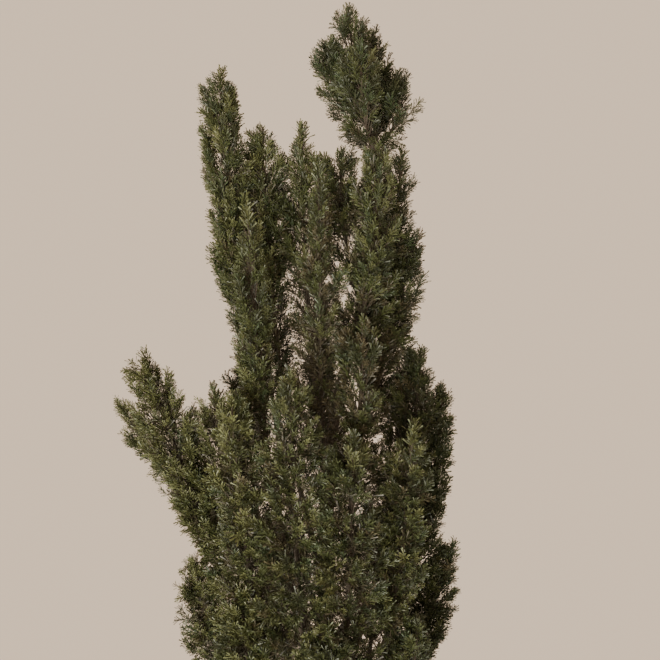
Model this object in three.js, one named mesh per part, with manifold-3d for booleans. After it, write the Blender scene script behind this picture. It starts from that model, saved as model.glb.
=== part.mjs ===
// A young Italian cypress: one trunk, steep boughs, and narrow plumes of scale-leaved sprays round them.
// Millimetres, +Z up. The origin is the middle of the flat cut under the trunk, at ground level.
import * as THREE from "three";
import { mergeVertices } from "three/addons/utils/BufferGeometryUtils.js";
import Module from "manifold-3d";

const wasm = await Module();
wasm.setup();

// Trunk: points that its axis passes through, its radius at the foot and at the tip, and the root flare.
const TRUNK_PATH = [
  [0, 0, 0],
  [-8, 4, 450],
  [-8, 0, 900],
  [4, -4, 1223],
  [42, 0, 1394],
  [74, 6, 1555],
  [72, 2, 1709],
  [44, 0, 1800],
];
const TRUNK_FOOT_RADIUS = 24;
const TRUNK_TIP_RADIUS = 3;
const TRUNK_TAPER = 0.9;
const TRUNK_SIDES = 10;
const TRUNK_RINGS = 20;
const TRUNK_RING_CROWDING = 1.3;
const FLARE_SPREAD = 17;
const FLARE_HEIGHT = 45;
const FLARE_FIRST_RING = 10;
const FLARE_FADE = 1.2;
const FLARE_LOBES = 4;
const FLARE_LOBE_DEPTH = 0.35;
const FLARE_LOBE_TURN = 0.6;

// Limbs: each leaves the trunk, spreads quickly and then climbs to its plume's tip. The shares say how much
// of its way out and of its rise a limb has made at the middle control point of its curve.
const SPREAD_SHARE = 0.9;
const RISE_SHARE = 0.38;
const LIMB_ROOT_SHARE = 0.42;
const LIMB_TIP_RADIUS = 1.6;
const LIMB_TAPER = 0.8;
const CLEARANCE = 0.3;
const LIMB_MARGIN = 3;
const BOUGH_SIDES = 5;
const BOUGH_RINGS = 4;
const STEM_SIDES = 5;
const STEM_RINGS = 4;
const STEM_REACH = 0.97;

// Plumes: the flame-shaped space round a limb's leafy part, from its foot to its tip.
const FLAME_FOOT = 0.3;
const FLAME_PEAK = 0.3;
const FLAME_BLUNTNESS = 3.2;
const FLAME_ROUNDING = 0.6;
const FLAME_TIP = 0.15;
const SPACE_STEPS = 14;
const CELL_MARGIN = 0.06;
const RING_STEP = 24;

// Cores: the share of a plume's half-width that its closed inside fills, and the shares of that which are
// tried where something stands beside it.
const CORE_SLIM = 0.53;
const CORE_INNER = 0.85;
const CORE_OUTER = 0.58;
const CORE_TRIES = [1, 0.85, 0.7, 0.55, 0.4, 0.25];
const CORE_FOOT = 0.05;
const CORE_TOP = 0.97;
const CORE_RING_RISE = 0.8;
const CORE_SIDES = 6;
const CORE_RINGS = 4;

// Shoots: a short twig and the toothed spray on it.
const SHOOT_EVERY = 52;
const SHOOT_CLIMB = 60;
const SHOOT_JITTER = 0.15;
const SHOOT_TRIES = [1, 0.82, 0.66];
const FORK_SHARE = 0.62;
const TWIG_RADIUS = 2.2;
const TWIG_LENGTH = 14;
const TWIG_LAP = 0.15;
const SPRAY_WIDTH_SHARE = 0.3;
const SPRAY_THICKNESS = 5;
const SPRAY_MIDDLE = 0.5;
const END_SPRAY_LENGTH = 85;
const GOLDEN_ANGLE = Math.PI * (3 - Math.sqrt(5));

// The rim of a spray, as shares of its half-width and of its length, from its root round to its left tooth.
const SPRAY_RIM = [[0, 0], [1, 0.55], [0.34, 0.64], [0, 1], [-0.9, 0.42]];

// Colours, as the light falls on them: bark, and the foliage of each tone.
const BARK = 0x5e4a38;
const BARK_ROUGHNESS = 0.9;
const LEAF_ROUGHNESS = 0.75;
const TONES = { green: 0x434a28, dark: 0x30361c, olive: 0x5d5d30, blue: 0x414d38, brown: 0x5a4b34 };

// How a plume is built: on a bough of its own or on a stem from the trunk, dense, slim or open.
const BOUGH = { bough: true };
const DENSE = { dense: true };
const OPEN = { open: true };
const DENSE_BOUGH = { ...BOUGH, ...DENSE };

// Plumes that are widest near their tips, and limbs that lean out over more of their rise.
const HEADED = { ...DENSE_BOUGH, peak: 0.7 };
const WIDE = { spread: 0.62, rise: 0.42 };
const WIDEST = { spread: 0.46, rise: 0.53 };

// Each plume: its name, the height where its limb leaves the trunk, its tip, its half-width, the share of
// the limb that is bare, and what sets it apart.
const PLUMES = [
  plume("top_leader", 1800, [28, 0, 1936], 42, 0, { straight: true, blunt: 2, tone: "dark" }),
  plume("top_left", 1712, [-9, -8, 1884], 34, 0.16, { blunt: 5, spread: 0.85, rise: 0.24, tone: "dark" }),
  plume("top_right", 1706, [106, 4, 1832], 42, 0.18, { blunt: 5, spread: 1.65, rise: 0.24, tone: "dark" }),
  plume("top_front", 1676, [46, -74, 1850], 46, 0.16, { blunt: 4 }),
  plume("top_back", 1660, [74, 50, 1912], 40, 0.16, { blunt: 4, tone: "dark" }),
  plume("column_right", 1330, [120, 0, 1702], 38, 0.2, { blunt: 6 }),
  plume("column_side", 1060, [144, -6, 1566], 46, 0.15, { ...WIDE, blunt: 6, tone: "brown" }),
  plume("column_left", 1420, [17, -14, 1706], 48, 0.25, { blunt: 4 }),
  plume("column_front", 1270, [78, -86, 1700], 50, 0.25, { ...DENSE, blunt: 6 }),
  plume("column_back", 1235, [76, 96, 1698], 50, 0.25, { ...DENSE, tone: "dark" }),
  plume("left_leader", 760, [-181, 0, 1836], 46, 0.54, { ...HEADED, blunt: 5, spread: 0.87 }),
  plume("left_inner", 930, [-115, 12, 1752], 44, 0.5, { ...BOUGH, blunt: 5 }),
  plume("left_back", 820, [-140, 112, 1700], 56, 0.48, { ...DENSE_BOUGH, tone: "dark" }),
  plume("left_front", 700, [-126, -96, 1606], 52, 0.5, { ...DENSE_BOUGH, tone: "blue" }),
  plume("centre_spire", 1130, [-48, 0, 1748], 48, 0.3, { ...BOUGH, blunt: 4 }),
  plume("centre_front", 1010, [-18, -92, 1682], 46, 0.36, { ...OPEN, tone: "brown" }),
  plume("centre_back", 960, [-30, 118, 1640], 50, 0.36, { ...OPEN, tone: "brown" }),
  plume("left_low", 620, [-320, -20, 1364], 53, 0.44, { ...HEADED, ...WIDE, blunt: 7, tone: "olive" }),
  plume("left_lobe", 570, [-390, 52, 1264], 31, 0.69, { ...BOUGH, ...WIDEST, blunt: 4, tone: "blue" }),
  plume("left_mid", 680, [-198, -24, 1308], 58, 0.46, { ...BOUGH, blunt: 8, tone: "olive" }),
  plume("left_shoulder", 520, [-152, -142, 1326], 68, 0.44, { ...DENSE_BOUGH, tone: "olive" }),
  plume("right_mid", 800, [159, 0, 1374], 56, 0.38, { ...BOUGH, blunt: 5 }),
  plume("right_outer", 600, [198, 8, 1308], 43, 0.42, { ...BOUGH, blunt: 4, spread: 0.94 }),
  plume("right_bright", 540, [130, -132, 1268], 54, 0.44, { ...DENSE_BOUGH, tone: "olive" }),
  plume("right_back", 650, [150, 134, 1350], 80, 0.3, { ...DENSE_BOUGH, tone: "dark" }),
  plume("front_left", 462, [-60, -170, 1370], 70, 0.44, DENSE_BOUGH),
  plume("front_right", 440, [34, -178, 1272], 70, 0.44, DENSE_BOUGH),
  plume("back_left", 545, [-172, 160, 1330], 82, 0.3, { ...DENSE_BOUGH, tone: "dark" }),
  plume("back_mid", 500, [-14, 196, 1390], 82, 0.3, DENSE_BOUGH),
  plume("inner_front", 850, [52, -118, 1440], 56, 0.36, { ...DENSE, tone: "brown" }),
  plume("low_left", 520, [-250, 0, 990], 55, 0.3, { ...DENSE, blunt: 6, spread: 0.84, tone: "olive" }),
  plume("low_right", 505, [224, 6, 1012], 45, 0.2, { ...DENSE, blunt: 5, spread: 0.74, rise: 0.5 }),
  ...ring("low", 3, { from: 225, step: 45, root: 330, radius: 200, top: 1000, width: 66, bare: 0.28 }),
  ...ring("low_far", 2, { from: 60, step: 60, root: 310, radius: 205, top: 1010, width: 84, bare: 0.22 }),
  ...ring("skirt", 5, { from: 22, step: 72, root: 120, radius: 170, top: 720, width: 68, bare: 0.2 }),
];

// One row of the table.
function plume(name, root, tip, width, bare, traits) {
  return { name, root, tip, width, bare, spread: SPREAD_SHARE, rise: RISE_SHARE, tone: "green", ...traits };
}

// Evenly spaced dense plumes round the trunk, each rooted higher and ending lower than the one before.
function ring(name, count, { from, step, root, radius, top, width, bare }) {
  return Array.from({ length: count }, (_, i) => {
    const azimuth = THREE.MathUtils.degToRad(from + i * step);
    const tip = [radius * Math.cos(azimuth), radius * Math.sin(azimuth), top - RING_STEP * i];
    return plume(`${name}_${i + 1}`, root + RING_STEP * i, tip, width, bare, DENSE);
  });
}

// Random numbers from 0 to 1, the same on each run for the same seed.
function seeded(seed) {
  const [scatter, multiplier, increment, range] = [2654435761, 1664525, 1013904223, 2 ** 32];
  let state = (seed * scatter) >>> 0;
  return () => {
    state = (Math.imul(state, multiplier) + increment) >>> 0;
    return state / range;
  };
}

// Evenly spaced numbers, both ends included.
function evenly(from, to, parts) {
  return Array.from({ length: parts + 1 }, (_, i) => from + ((to - from) * i) / parts);
}

// A closed geometry as a solid.
function solidOf(geometry) {
  geometry.deleteAttribute("normal");
  geometry.deleteAttribute("uv");
  const merged = mergeVertices(geometry);
  return new wasm.Manifold(
    new wasm.Mesh({
      numProp: 3,
      vertProperties: merged.attributes.position.array,
      triVerts: new Uint32Array(merged.index.array),
    }),
  );
}

// A solid as a geometry.
function geometryOf(solid) {
  const mesh = solid.getMesh();
  return new THREE.BufferGeometry()
    .setAttribute("position", new THREE.BufferAttribute(new Float32Array(mesh.vertProperties), 3))
    .setIndex(new THREE.BufferAttribute(new Uint32Array(mesh.triVerts), 1));
}

// The largest body of a solid, without loose scraps.
function largest(solid) {
  return solid.decompose().reduce((a, b) => (b.volume() > a.volume() ? b : a));
}

// A closed lathe of the given number of sides, with one ring for each item of heights and a middle point at
// each end. place gives each of its points from the ring, the angle round it, and 0 on the axis or 1 off it.
function lathe(heights, sides, place) {
  const profile = heights.map((_, i) => new THREE.Vector2(1, i));
  profile.unshift(new THREE.Vector2(0, 0));
  profile.push(new THREE.Vector2(0, heights.length - 1));
  const geometry = new THREE.LatheGeometry(profile, sides);
  const points = geometry.attributes.position;
  for (let i = 0; i < points.count; i += 1) {
    const angle = Math.atan2(points.getX(i), points.getZ(i));
    const offAxis = Math.round(Math.hypot(points.getX(i), points.getZ(i)));
    const point = place(Math.round(points.getY(i)), angle, offAxis);
    points.setXYZ(i, point.x, point.y, point.z);
  }
  return solidOf(geometry);
}

// The trunk's axis and radius at a height.
const trunkPoints = TRUNK_PATH.map((point) => new THREE.Vector3(...point));
const trunkCurve = new THREE.CatmullRomCurve3(trunkPoints, false, "centripetal");
const trunkSamples = trunkCurve.getPoints(50 * TRUNK_PATH.length);
const TRUNK_TOP = TRUNK_PATH.at(-1)[2];
function trunkAxis(height) {
  const above = Math.max(trunkSamples.findIndex((p) => p.z >= height), 1);
  const [a, b] = [trunkSamples[above - 1], trunkSamples[above]];
  return a.clone().lerp(b, (height - a.z) / (b.z - a.z));
}
function trunkRadius(height) {
  return THREE.MathUtils.lerp(TRUNK_TIP_RADIUS, TRUNK_FOOT_RADIUS, (1 - height / TRUNK_TOP) ** TRUNK_TAPER);
}

// The trunk from its flat cut to its tip, with its root flare in lobes. grown makes it that much thicker,
// to leave room between it and what meets it.
function trunkSolid(grown) {
  const heights = evenly(0, 1, TRUNK_RINGS).map((share) => TRUNK_TOP * share ** TRUNK_RING_CROWDING);
  heights.splice(1, 0, FLARE_FIRST_RING);
  return lathe(heights, TRUNK_SIDES, (ring, angle, offAxis) => {
    const height = heights[ring];
    const lobe = 1 + FLARE_LOBE_DEPTH * Math.cos(FLARE_LOBES * angle + FLARE_LOBE_TURN);
    const flare = FLARE_SPREAD * lobe * Math.exp(-((height / FLARE_HEIGHT) ** FLARE_FADE));
    const radius = offAxis * (trunkRadius(height) + flare + grown);
    const centre = trunkAxis(height);
    const lifted = height === TRUNK_TOP ? grown : 0;
    return centre.add(new THREE.Vector3(radius * Math.sin(angle), -radius * Math.cos(angle), lifted));
  });
}

// The point of a curve with its direction and the two directions across it.
function frameAt(curve, t) {
  const centre = curve.getPoint(t);
  const along = curve.getTangent(t);
  const side = new THREE.Vector3(0, 1, 0).cross(along).normalize();
  const across = along.clone().cross(side);
  return { centre, side, across };
}

// The direction at an angle round a curve's frame.
function around({ side, across }, angle) {
  return side.clone().multiplyScalar(Math.cos(angle)).addScaledVector(across, Math.sin(angle));
}

// A lathe bent along a curve, with a ring at each step of the curve's parameter. radiusAt gives a point's
// radius from its ring, the ring's centre and the direction outward.
function bentLathe({ curve, steps, sides, radiusAt }) {
  const frames = steps.map((t) => frameAt(curve, t));
  return lathe(steps, sides, (ring, angle, offAxis) => {
    const { centre } = frames[ring];
    const outward = around(frames[ring], angle);
    return centre.clone().addScaledVector(outward, offAxis * radiusAt(ring, centre, outward));
  });
}

// The half-width of a plume's space, as a share of its widest, from its foot at 0 to its tip at 1.
function flame(share, { blunt = FLAME_BLUNTNESS, peak = FLAME_PEAK }) {
  const below = 1 - share / peak;
  if (below > 0) return FLAME_FOOT + (1 - FLAME_FOOT) * Math.sqrt(1 - below ** 2);
  const past = (share - peak) / (1 - peak);
  return Math.max((1 - past ** blunt) ** FLAME_ROUNDING, FLAME_TIP);
}

// A plume with its limb as a curve, from the trunk's axis to the plume's tip, and its space along it.
function grow(row, index) {
  const { root, spread, rise, straight, bare, width } = row;
  const start = trunkAxis(root);
  const end = new THREE.Vector3(...row.tip);
  const middle = start.clone().lerp(end, straight ? 0.5 : spread);
  if (!straight) middle.z = THREE.MathUtils.lerp(start.z, end.z, rise);
  const curve = new THREE.QuadraticBezierCurve3(start, middle, end);
  const length = curve.getLength();
  const atShare = (share) => bare + (1 - bare) * share;
  const space = evenly(0, 1, SPACE_STEPS).map((share) => {
    return { centre: curve.getPoint(atShare(share)), width: width * flame(share, row) };
  });
  return { ...row, index, curve, length, leafyLength: length * (1 - bare), atShare, space };
}
const plumes = PLUMES.map(grow);
const boughPlumes = plumes.filter((each) => each.bough);

// A limb's radius at a parameter of its curve.
function limbRadius({ root }, t) {
  return THREE.MathUtils.lerp(LIMB_TIP_RADIUS, LIMB_ROOT_SHARE * trunkRadius(root), (1 - t) ** LIMB_TAPER);
}

// How far into a space a point is: 0 on its axis, 1 on its outer surface.
const nearest = new THREE.Vector3();
function depthIn(space, point) {
  return space.slice(1).reduce((least, next, i) => {
    const line = new THREE.Line3(space[i].centre, next.centre);
    const along = line.closestPointToPointParameter(point, true);
    const width = THREE.MathUtils.lerp(space[i].width, next.width, along);
    return Math.min(least, line.at(along, nearest).distanceTo(point) / width);
  }, Infinity);
}

// The spaces of the bare limbs, which foliage keeps out of.
const trunkSpace = evenly(0, TRUNK_TOP, SPACE_STEPS).map((height) => {
  return { centre: trunkAxis(height), width: trunkRadius(height) + LIMB_MARGIN };
});
const boughSpaces = boughPlumes.map((each) => {
  return evenly(0, each.bare, SPACE_STEPS).map((t) => {
    return { centre: each.curve.getPoint(t), width: limbRadius(each, t) + LIMB_MARGIN };
  });
});
const limbSpaces = [trunkSpace, ...boughSpaces];

// Whether a point belongs to a plume, and not to one beside it or to a limb.
function keepsTo(own, point) {
  const depth = depthIn(own.space, point) + CELL_MARGIN;
  const clearOfLimbs = limbSpaces.every((space) => depthIn(space, point) > 1);
  return clearOfLimbs && plumes.every((other) => other === own || depthIn(other.space, point) > depth);
}

// Whether a solid stays clear of others, by more than the clearance.
function clearOf(solid, others) {
  const box = solid.boundingBox();
  return others.every((other) => {
    const near = other.boundingBox();
    const apart = box.min.some((low, k) => low > near.max[k] + 1 || near.min[k] > box.max[k] + 1);
    return apart || solid.minGap(other, 1) > CLEARANCE;
  });
}

// A limb's solid between two parameters of its curve, trimmed to just clear of the trunk.
const trunk = trunkSolid(0);
const trunkClearance = trunkSolid(CLEARANCE);
function limbSolid(each, from, to, rings, sides) {
  const steps = evenly(from, to, rings);
  const radiusAt = (i) => limbRadius(each, steps[i]);
  return largest(bentLathe({ curve: each.curve, steps, sides, radiusAt }).subtract(trunkClearance));
}

// The stem of a plume, from its bough's tip or the trunk to near the plume's tip.
function stemSolid(each) {
  const gap = (2 * CLEARANCE) / each.length;
  const from = each.bough ? each.bare + gap / 2 : gap;
  return limbSolid(each, each.bough || each.straight ? from : 0, STEM_REACH, STEM_RINGS, STEM_SIDES);
}

// How far a plume's core reaches from its stem in one direction: less on its outer side, and short of what
// stands beside it.
function coreReach(each, share, centre, outward, fullness) {
  const away = centre.clone().sub(trunkAxis(centre.z)).setZ(0).normalize();
  const facing = (1 + outward.dot(away)) / 2;
  const full = each.dense ? THREE.MathUtils.lerp(CORE_INNER, CORE_OUTER, facing) : CORE_SLIM;
  const radius = fullness * full * each.width * flame(share, each);
  const at = (reach) => centre.clone().addScaledVector(outward, reach);
  const fits = (part) => keepsTo(each, at(radius * part + LIMB_MARGIN));
  return radius * (CORE_TRIES.find(fits) ?? CORE_TRIES.at(-1));
}

// The core of a plume at a given fullness.
function coreSolid(each, fullness) {
  const shares = evenly(0, 1, CORE_RINGS).map((share) => {
    return THREE.MathUtils.lerp(CORE_FOOT, CORE_TOP, share ** CORE_RING_RISE);
  });
  const radiusAt = (i, centre, outward) => coreReach(each, shares[i], centre, outward, fullness);
  return bentLathe({ curve: each.curve, steps: shares.map(each.atShare), sides: CORE_SIDES, radiusAt });
}

// One spray: a thin toothed blade from its root to its tip, turned by roll about its length.
function spraySolid(root, tip, roll) {
  const length = root.distanceTo(tip);
  const teeth = SPRAY_RIM.length;
  const blade = new THREE.SphereGeometry(1, teeth, 2);
  const points = blade.attributes.position;
  for (let i = 0; i < points.count; i += 1) {
    const face = Math.round(points.getY(i));
    const turn = Math.atan2(points.getZ(i), -points.getX(i)) / (2 * Math.PI);
    const tooth = (Math.round(turn * teeth) + teeth) % teeth;
    const [across, along] = face ? [0, SPRAY_MIDDLE] : SPRAY_RIM[tooth];
    points.setXYZ(i, across * SPRAY_WIDTH_SHARE * length, along * length, (face * SPRAY_THICKNESS) / 2);
  }
  const lengthwise = new THREE.Vector3(0, 1, 0);
  const aim = new THREE.Quaternion().setFromUnitVectors(lengthwise, tip.clone().sub(root).normalize());
  const turned = new THREE.Quaternion().setFromAxisAngle(lengthwise, roll);
  blade.applyQuaternion(aim.multiply(turned)).translate(root.x, root.y, root.z);
  return solidOf(blade);
}

// A shoot: a three-sided twig from the stem to a fork, and a spray from there to its tip.
function shootSolids({ stem, fork, tip, roll }) {
  const curve = new THREE.LineCurve3(stem, fork.clone().lerp(tip, TWIG_LAP));
  const twig = bentLathe({ curve, steps: [0, 1], sides: 3, radiusAt: () => TWIG_RADIUS });
  return [twig, spraySolid(fork, tip, roll)];
}

// A plume's shoots: round the stem by the golden angle, climbing as they spread. Each is given as a list,
// from its full reach to shorter ones, for a place where the whole would leave the plume's space.
function shootPlaces(each, fullness) {
  const random = seeded(each.index + 1);
  const count = Math.round(each.leafyLength / SHOOT_EVERY);
  return Array.from({ length: count }, (_, i) => {
    const share = (i + 0.5) / count;
    const top = Math.min(share + SHOOT_CLIMB / each.leafyLength, STEM_REACH);
    const stem = frameAt(each.curve, each.atShare(share)).centre;
    const high = frameAt(each.curve, each.atShare(top));
    const outward = around(high, i * GOLDEN_ANGLE + SHOOT_JITTER * random());
    const twig = fullness ? FORK_SHARE * coreReach(each, share, stem, outward, fullness) : TWIG_LENGTH;
    const fork = stem.clone().addScaledVector(outward, twig);
    const reach = each.width * flame(top, each) * (1 - SHOOT_JITTER * random());
    const roll = Math.PI * random();
    return SHOOT_TRIES.map((part) => {
      return { stem, fork, tip: high.centre.clone().addScaledVector(outward, reach * part), roll };
    });
  });
}

// The last spray of a plume, which reaches its tip.
function endSpray(each) {
  const from = each.atShare(Math.max(1 - END_SPRAY_LENGTH / each.leafyLength, 0.5));
  return spraySolid(each.curve.getPoint(from), each.curve.getPoint(1), each.index);
}

// The bare limbs, and the solids of each plume's foliage, which starts as its stem.
const boughs = boughPlumes.map((each) => limbSolid(each, 0, each.bare, BOUGH_RINGS, BOUGH_SIDES));
const foliageOf = new Map(plumes.map((each) => [each, [stemSolid(each)]]));
const besides = (own) => {
  const others = [...foliageOf].filter(([other]) => other !== own);
  return [trunk, ...boughs, ...others.flatMap(([, solids]) => solids)];
};

// Adds a plume's core, slimmer where the whole one would touch what is beside it, and returns its fullness.
function addCore(each) {
  const taken = besides(each);
  const fullness = each.open ? undefined : CORE_TRIES.find((part) => clearOf(coreSolid(each, part), taken));
  if (fullness) foliageOf.get(each).push(coreSolid(each, fullness));
  return fullness ?? 0;
}

// Adds a plume's sprays: each stays in the plume's space, clear of all beside it and of its own others.
function addSprays(each, fullness) {
  const taken = besides(each);
  const wood = foliageOf.get(each);
  const inside = wasm.Manifold.union(wood);
  const sprays = [endSpray(each)].filter((solid) => clearOf(solid, taken));
  const standsFree = (solid) => {
    const outside = solid.subtract(inside);
    return clearOf(solid, taken) && sprays.every((other) => outside.intersect(other).isEmpty());
  };
  for (const tries of shootPlaces(each, fullness)) {
    const within = tries.filter(({ tip }) => keepsTo(each, tip)).map(shootSolids);
    sprays.push(...(within.find((solids) => solids.every(standsFree)) ?? []));
  }
  foliageOf.set(each, [...wood, ...sprays]);
}

const fullnesses = plumes.map(addCore);
plumes.forEach((each, i) => addSprays(each, fullnesses[i]));

// The tree: the trunk, the boughs and the plumes' foliage, each a named mesh.
const tree = new THREE.Group();
function addMesh(name, solid, color, roughness) {
  const material = new THREE.MeshStandardMaterial({ color, roughness, metalness: 0 });
  const mesh = new THREE.Mesh(geometryOf(solid), material);
  mesh.name = name;
  tree.add(mesh);
}
addMesh("trunk", trunk, BARK, BARK_ROUGHNESS);
boughPlumes.forEach(({ name }, i) => addMesh(`bough_${name}`, boughs[i], BARK, BARK_ROUGHNESS));
for (const [{ name, tone }, solids] of foliageOf) {
  addMesh(`foliage_${name}`, largest(wasm.Manifold.union(solids)), TONES[tone], LEAF_ROUGHNESS);
}

export default tree;
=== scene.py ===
"""A young Italian cypress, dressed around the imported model: bark with its relief on the trunk and boughs, and
twigs and sprays of scale-leaved shoots that grow by the rule of the solids. Lengths are in millimetres up to
the meshes, which are in metres, +Z up, with the origin in the flat cut under the trunk."""
import itertools
import math

import bpy
import numpy as np
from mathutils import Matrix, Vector


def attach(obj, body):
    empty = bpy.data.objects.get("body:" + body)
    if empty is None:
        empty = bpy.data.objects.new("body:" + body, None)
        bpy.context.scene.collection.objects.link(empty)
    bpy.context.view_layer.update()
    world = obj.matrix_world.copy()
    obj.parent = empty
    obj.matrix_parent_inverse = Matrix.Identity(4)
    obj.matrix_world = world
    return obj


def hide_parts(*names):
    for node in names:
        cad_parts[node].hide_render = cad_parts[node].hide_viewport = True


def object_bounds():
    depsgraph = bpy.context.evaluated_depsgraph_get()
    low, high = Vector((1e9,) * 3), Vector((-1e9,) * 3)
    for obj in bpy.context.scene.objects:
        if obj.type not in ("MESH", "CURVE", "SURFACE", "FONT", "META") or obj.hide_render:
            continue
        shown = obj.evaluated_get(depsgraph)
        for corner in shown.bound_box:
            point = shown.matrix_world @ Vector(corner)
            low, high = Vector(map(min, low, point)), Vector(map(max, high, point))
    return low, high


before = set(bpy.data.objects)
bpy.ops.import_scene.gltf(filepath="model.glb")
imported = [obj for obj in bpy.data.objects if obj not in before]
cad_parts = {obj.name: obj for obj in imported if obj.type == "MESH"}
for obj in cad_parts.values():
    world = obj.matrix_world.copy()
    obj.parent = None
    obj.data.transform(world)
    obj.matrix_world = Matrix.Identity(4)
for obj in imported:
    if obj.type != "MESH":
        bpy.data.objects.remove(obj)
cad_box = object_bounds()

MM = 0.001
UP = np.array([0.0, 0.0, 1.0])
INWARD = np.array([0.0, 1.0, 0.0])
GOLDEN_ANGLE = math.pi * (3 - math.sqrt(5))
SOLIDS_BOX = np.array(cad_box) / MM
TINY = 1e-9

# Trunk: points that its axis passes through, its radius at the foot and at the tip, and the root flare.
TRUNK_PATH = [
    (0, 0, 0),
    (-8, 4, 450),
    (-8, 0, 900),
    (4, -4, 1223),
    (42, 0, 1394),
    (74, 6, 1555),
    (72, 2, 1709),
    (44, 0, 1800),
]
TRUNK_FOOT_RADIUS = 24
TRUNK_TIP_RADIUS = 3
TRUNK_TAPER = 0.9
TRUNK_TOP = TRUNK_PATH[-1][2]
TRUNK_LINE_STEPS = 50
FLARE_SPREAD = 17
FLARE_HEIGHT = 45
FLARE_FADE = 1.2
FLARE_LOBES = 4
FLARE_LOBE_DEPTH = 0.35
FLARE_LOBE_TURN = 0.6

# Limbs: the share of the way out and of the rise that a limb has made at its middle control point, its taper,
# how far foliage keeps from its bark, and the share of it that a stem reaches.
SPREAD_SHARE = 0.9
RISE_SHARE = 0.38
STRAIGHT_SHARE = 0.5
LIMB_ROOT_SHARE = 0.42
LIMB_TIP_RADIUS = 1.6
LIMB_TAPER = 0.8
LIMB_MARGIN = 3
LENGTH_STEPS = 200
STEM_REACH = 0.97

# Plumes: the flame-shaped space round a limb's leafy part, and by how much the heights in a ring differ.
FLAME_FOOT = 0.3
FLAME_PEAK = 0.3
FLAME_BLUNTNESS = 3.2
FLAME_ROUNDING = 0.6
FLAME_TIP = 0.15
SPACE_STEPS = 14
RING_STEP = 24

# Branches: side branches round a stem, how they climb while they spread, and how long they are. Those near
# the foot of a plume climb less. One that would reach into another plume is tried again at a lesser reach.
BRANCH_EVERY = 4.6
BRANCH_LEAST = 6
BRANCH_CLIMB = 45
BRANCH_FOOT = 0.25
BRANCH_FOOT_CLIMB = 0.1
BRANCH_JITTER = 0.16
BRANCH_SHORT = 20
BRANCH_LEAST_REACH = 0.4
BRANCH_TRIES = (1, 0.82, 0.66, 0.5)
BRANCH_SLACK = 0.12
BRANCH_BOW = 0.16
BRANCH_RADIUS = (1.3, 0.6)
BRANCH_RINGS = 3
BRANCH_SIDES = 3
TIP_CLIMB = 0.5

# Lumps and tufts: how a plume's outline swells and shrinks round its stem, and how single branches stand out.
LUMP_DEPTH = 0.32
LUMP_LENGTH = 60
LUMP_CELLS = 4
LUMP_MIDDLE = 1.1
LUMP_SEEDS = 1000
TUFT_REACH = 0.5
TUFT_RARITY = 3
TUFT_MIDDLE = 0.25

# Green sprays: where they sit along a branch, their lengths, which way they lean from it, and how far out in
# the plume's space their tips may lie. One whose tip lies further out is shortened a few times, and left out
# if that doesn't help. Where a branch is short or the light is poor, there are fewer.
SPRAY_STEPS = (0.3, 0.46, 0.6, 0.72, 0.84, 0.93, 1.0, 1.0)
STEP_JITTER = 0.05
STEP_LEAST = 0.05
SPRAY_LENGTH = (26, 44)
SPRAY_LEAN = (0.4, 1.1)
SPRAY_RISE = 0.2
SPRAY_OUTWARD = 0.4
TIP_UPRIGHT = 0.6
SPRAY_LIMIT = 0.77
SPRAY_SLACK = 0.4
SPRAY_TRIES = 3
SPRAY_CUT = 0.85
SPRAY_ROOM = 30
SPRAY_EXPOSURE = 1
FULL_EXPOSURE = 0.15
SEAM_EASE = 0.5
SEAM_REACH = 1.6

# Sprays at the end of a stem, and withered sprays near it, which the green ones hide.
TIP_SPRAYS = 4
TIP_SPRAY_FOOT = 34
TIP_SPRAY_LEAN = 0.4
INNER_STEPS = (0.12, 0.3, 0.5)
INNER_LENGTH = (30, 44)
INNER_LIMIT = 0.6
INNER_EXPOSURE = 0.34

# Shoots of a spray: forks in a spiral up a bent axis of folded kites. Each sort of spray has the number of
# its shoots, their width, and their length at its foot and at its tip, as a share of its own. Those with fine
# shoots stand in the shade and those with long ones in the open, with a mixture between two exposures.
FINE_SHOOTS = (24, 0.85, (0.38, 0.2))
LONG_SHOOTS = (24, 0.95, (0.5, 0.32))
INNER_SHOOTS = (12, 1.2, (0.55, 0.45))
LONG_FROM = 0.18
LONG_TO = 0.45
SPRAY_KINDS = 12
INNER_KINDS = 4
SPRAY_BOW = 0.12
AXIS_KNOTS = (0, 0.36, 0.7, 1)
SHOOT_START = 0.06
SHOOT_RUN = 0.86
SHOOT_JITTER = 0.4
SHOOT_LIFT = (1.0, 2.2)
SHOOT_LENGTH = (0.75, 1.2)
SHOOT_FORK = 0.42
FORK_LENGTH = (0.7, 1.1)
SHOOT_FOLD = 0.7
SHOOT_WAIST = 0.68

# A nudge off the vertical for each sort of line, so that the directions across an upright one are defined.
BRANCH_NUDGE = 0.01
SPRAY_NUDGE = 0.013
TUBE_NUDGE = 0.017

# Exposure: how well light reaches a point of the crown, on a grid of that pitch: it fades to a third over the
# depth of foliage that it comes through, and is followed for that many cells.
GRID_PITCH = 20
GRID_MARGIN = 60
GRID_EDGE = 1.001
LIGHT_DEPTH = 45
LIGHT_STEPS = 14

# Bark: rings and sides of its meshes, and its relief as a share of the radius. The relief has ridges, finer
# ridges and grain: their lengths along the limb, their counts round it, and their heights.
TRUNK_RINGS = 420
TRUNK_SIDES = 72
TRUNK_CROWDING = 1.15
TRUNK_RELIEF = 0.055
TRUNK_RELIEF_LEAST = 0.1
BOUGH_RINGS = 70
BOUGH_SIDES = 20
STEM_RINGS = 40
STEM_SIDES = 8
LIMB_RELIEF = 0.07
NOISE_ROWS = 400
BARK_SWAY = 0.02
BARK_SWAY_LENGTH = 90
BARK_LENGTHS = (70, 26, 9)
BARK_COUNTS = (11, 23, 41)
RIDGE_SHARPNESS = 1.5
RIDGE_HEIGHT = 1.1
FINE_HEIGHT = 0.5
GRAIN_HEIGHT = 0.25
BARK_MIDDLE = 0.9

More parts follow.
